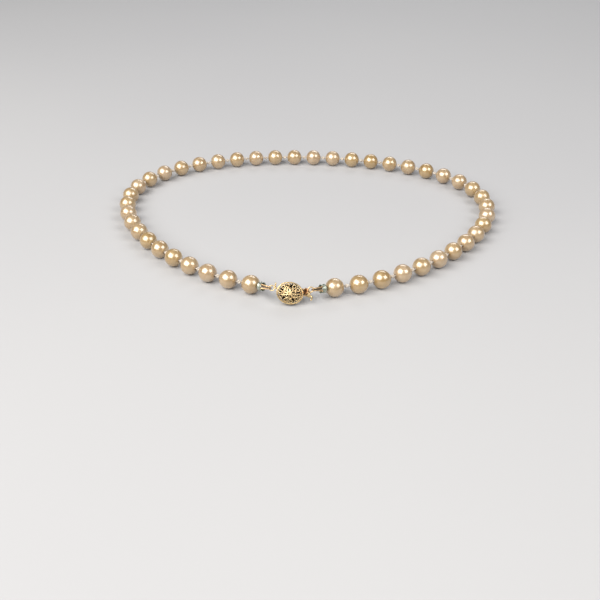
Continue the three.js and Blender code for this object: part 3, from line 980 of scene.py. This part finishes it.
def in_clasp(points):
    return [CLASP @ point for point in points]


def ring_parts(hold, inward, post_end):
    """A ring in the clasp's own plane with a post toward the clasp; the bead tip's strap holds its outer
    side."""
    place = CLASP.inverted() @ hold + Vector((inward * RING_RADIUS, 0, 0))
    loop = []
    for i in range(RING_STEPS):
        turn = tau * i / RING_STEPS
        loop.append(place + Vector((RING_RADIUS * cos(turn), RING_RADIUS * sin(turn), 0)))
    start = place.x + inward * RING_RADIUS
    post = []
    for i in range(POST_STEPS + 1):
        post.append(Vector((start + (post_end - start) * i / POST_STEPS, place.y, place.z)))
    return [wire(in_clasp(loop), RING_WIRE, GOLD, sides=10, closed=True),
            wire(in_clasp(post), POST_WIRE, GOLD, sides=10)]


def add_clasp_ring():
    """The fixed ring on its post, and the stub of wire beside it."""
    parts = ring_parts(LEFT_HOLD, 1, BOX_POST_END)
    parts.append(wire(in_clasp(bend(scaled(STUB), steps=4)), STUB_WIRE, GOLD, sides=10))
    add_piece("clasp_ring_and_stub", parts, "clasp_box", ["clasp_ring"])


def slab(outline, low, high, soften, place, material):
    """A flat plate with softened edges: outline in the local XY plane, from low to high in local Z. What is
    inside the clasp's box is marked inside, for painted shade."""
    count = len(outline)
    middle = sum((Vector(p) for p in outline), Vector((0, 0))) / count
    rows = ((low, soften), (low + soften, 0), (high - soften, 0), (high, soften))
    vertices, inside = [], []
    for height, inset in rows:
        for x, y in outline:
            toward = (middle - Vector((x, y))).normalized() * inset
            vertices.append(tuple(place @ Vector((x + toward.x, y + toward.y, height))))
            inside.append(1.0 if x < BOX_END else 0.0)
    faces = grid_faces(len(rows), count)
    faces.append(list(range(count)))
    faces.append([(len(rows) - 1) * count + k for k in range(count)])
    return vertices, faces, material, {"inside": inside}


def tail_part():
    """The curled tail, thickest just past its root and thinner toward its tip."""
    tail = bend(scaled(TAIL), steps=5)
    shares = [i / (len(tail) - 1) for i in range(len(tail))]
    radii = [min(TAIL_ROOT + TAIL_SWELL * share, TAIL_WIRE - TAIL_TAPER * share) for share in shares]
    return wire(in_clasp(tail), radii, GOLD, sides=10)


def coil_part():
    """The wire wrapped round the root of the tail, from the strip's end outward."""
    coil = []
    for i in range(COIL_STEPS):
        share = i / (COIL_STEPS - 1)
        angle = tau * COIL_TURNS * share
        middle = Vector(COIL_START).lerp(Vector(COIL_END), share)
        depth = COIL_HALF_DEPTH + COIL_DEEPENING * share
        around = (COIL_SLANT * cos(angle), COIL_HALF_HEIGHT * cos(angle), depth * sin(angle))
        coil.append(middle + Vector(around))
    return wire(in_clasp(scaled(coil)), COIL_WIRE, GOLD)


def add_hook():
    """The strip with the wire wrapped beside the mouth and the curled tail, and the ring on its post."""
    outline = [(x * MM, y * MM) for x, y in STRIP]
    strip = slab(outline, STRIP_BOTTOM, STRIP_TOP, STRIP_SOFTEN, CLASP, DARK_GOLD)
    parts = [strip, tail_part(), coil_part()]
    add_piece("hook_strip_and_tail", parts, "clasp_hook", ["hook_strip"])
    ring = ring_parts(RIGHT_HOLD, -1, HOOK_POST_END)
    add_piece("hook_ring_and_post", ring, "clasp_hook", ["hook_ring"])


def tongue_part():
    """The spring tongue with its barb, hidden in the box."""
    plate = []
    for point in bend(scaled(TONGUE), steps=5):
        for q in TONGUE_COLUMNS:
            plate.append(point + Vector((0, TONGUE_MIDDLE + TONGUE_HALF * q, TONGUE_CROWN * (1 - q * q))))
    thick = Vector(TONGUE_HALF_THICK)
    upper = in_clasp([point + thick for point in plate])
    lower = in_clasp([point - thick for point in plate])
    across = len(TONGUE_COLUMNS)
    # painted shade: the whole tongue lies in the box and is marked to be darkened
    return sheet(upper, lower, across, DARK_GOLD, [1.0] * across)


def tab_parts():
    """The cupped thumb tab that rises outside the mouth, drifting to one side, and its rolled lip."""
    tab = bend(scaled(TAB), steps=5)
    lean = Vector(TAB_HALF_THICK)
    upper, lower = [], []
    for i, point in enumerate(tab):
        share = i / (len(tab) - 1)
        rounding = TAB_ROUNDING * max(0, share - TAB_ROUND_FROM) ** 2
        width = (TAB_HALF + TAB_SWELL * sin(pi * share)) * (1 - rounding)
        for q in TONGUE_COLUMNS:
            cup = TAB_CUP * q * q
            here = point + Vector((-cup, TONGUE_MIDDLE + TAB_DRIFT * share + width * q, cup))
            upper.append(here + lean)
            lower.append(here - lean)
    lip_middle = TONGUE_MIDDLE + TAB_DRIFT
    lip = [tab[-1] + Vector((0, lip_middle + TAB_LIP_HALF * q, 0)) for q in (-1, -0.5, 0, 0.5, 1)]
    return [sheet(in_clasp(upper), in_clasp(lower), len(TONGUE_COLUMNS), COPPER),
            wire(in_clasp(lip), TAB_LIP_WIRE, COPPER, sides=10)]


def add_tongue():
    parts = [tongue_part()] + tab_parts()
    add_piece("hook_tongue_and_tab", parts, "hook_tongue", ["hook_tongue"])


# ---------------------------------------------------------------- build

add_camera()
add_studio()

bpy.ops.mesh.primitive_plane_add(size=FLOOR_SIZE)
floor = bpy.context.object
floor.name = "floor"
floor.data.materials.append(floor_material())

profile = pearl_profile()
for index in range(PEARL_COUNT):
    add_pearl(index, profile)
for index in range(PEARL_COUNT):
    add_silk(index)
add_end_knot("left", 0, LEFT_HOLD, -1)
add_end_knot("right", PEARL_COUNT - 1, RIGHT_HOLD, 1)
add_bead_tip("left", 0, LEFT_HOLD)
add_bead_tip("right", PEARL_COUNT - 1, RIGHT_HOLD)
# The back filigree's piece also holds the dark lining, which is painted shade for the clasp's inside.
back = face_parts(-1) + shade_lining_parts()
add_piece("filigree_front", face_parts(1), "clasp_box", ["clasp_front_filigree"])
add_piece("filigree_back", back, "clasp_box", ["clasp_back_filigree"])
add_piece("clasp_gallery", gallery_parts(), "clasp_box", ["clasp_rim"])
add_clasp_ring()
add_hook()
add_tongue()

# The catch bar keeps the shape it has in the frame.
catch_bar = frame["nodes"]["clasp_catch_bar"]
# painted shade: the catch bar inside the box takes the darker gold
catch_bar.data.materials.clear()
catch_bar.data.materials.append(DARK_GOLD)
